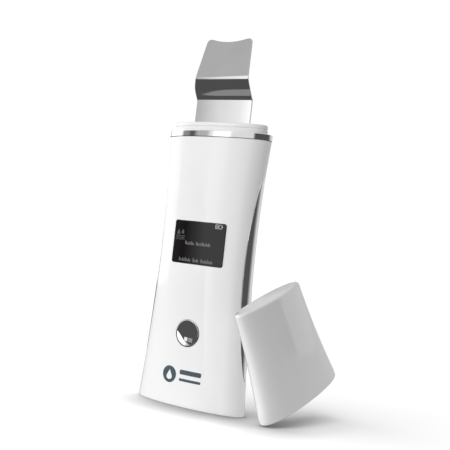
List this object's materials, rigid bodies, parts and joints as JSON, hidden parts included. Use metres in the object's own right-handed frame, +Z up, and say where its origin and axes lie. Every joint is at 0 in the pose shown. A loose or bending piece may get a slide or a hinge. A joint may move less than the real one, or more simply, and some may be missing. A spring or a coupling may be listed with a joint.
{
  "type": "skin scrubber",
  "caption": "Handheld ultrasonic skin scrubber with a bent steel blade, display, push button and chrome side trims, its oval cap leaning beside it.",
  "frame": {"origin": "centre of the handset's flat base", "axes": "+Z up along the handset towards the blade, -Y out of the display, +X towards the cap lying beside it"},
  "size_m": [0.0842, 0.0597, 0.1688],
  "materials": {
    "white_plastic": "gloss",
    "chrome": "mirror",
    "polished_steel": "polished",
    "display_glass": "gloss",
    "black_plastic": "matte",
    "silicone": "matte",
    "foam": "matte",
    "circuit_board": "satin",
    "ceramic": "matte",
    "aluminium": "satin",
    "battery_foil": "satin",
    "copper": "satin",
    "red_wire": "satin",
    "black_wire": "satin"
  },
  "bodies": {
    "handset": {"front_housing": "white_plastic", "rear_housing": "white_plastic", "base_cover": "white_plastic", "collar": "white_plastic", "chrome_ring": "chrome", "side_trim_right": "chrome", "side_trim_left": "chrome", "blade": "polished_steel", "back_mass": "polished_steel", "stack_bolt": "polished_steel", "charge_socket": "polished_steel", "housing_screw_1": "polished_steel", "housing_screw_2": "polished_steel", "housing_screw_3": "polished_steel", "housing_screw_4": "polished_steel", "board_screw_1": "polished_steel", "board_screw_2": "polished_steel", "display_window": "display_glass", "display_panel": "black_plastic", "tact_switch": "black_plastic", "control_chip": "black_plastic", "buzzer": "black_plastic", "button_guide": "black_plastic", "blade_seal": "silicone", "transducer_holder": "silicone", "battery_foam": "foam", "main_board": "circuit_board", "charge_board": "circuit_board", "piezo_ring_front": "ceramic", "piezo_ring_rear": "ceramic", "transducer_horn": "aluminium", "battery": "battery_foil", "electrode_plate": "copper", "display_flex": "copper", "contact_strip_right": "copper", "contact_strip_left": "copper", "drive_transformer": "copper", "battery_wire_pos": "red_wire", "charge_wire_pos": "red_wire", "transducer_wire_live": "red_wire", "battery_wire_neg": "black_wire", "charge_wire_neg": "black_wire", "transducer_wire_ground": "black_wire"},
    "button": {"mode_button": "chrome", "switch_plunger": "black_plastic"},
    "cap": {"cap_shell": "white_plastic"}
  },
  "joints": [
    {"name": "button_press", "type": "slide", "parent": "handset", "child": "button", "axis": [0, 1, 0], "range_m": [0, 0.0005], "stiffness_N_per_m": 2400, "springref_m": -0.0003},
    {"name": "cap_lift", "type": "slide", "parent": "handset", "child": "cap", "axis": [0.342, 0, 0.9397], "range_m": [0, 0.15]}
  ]
}
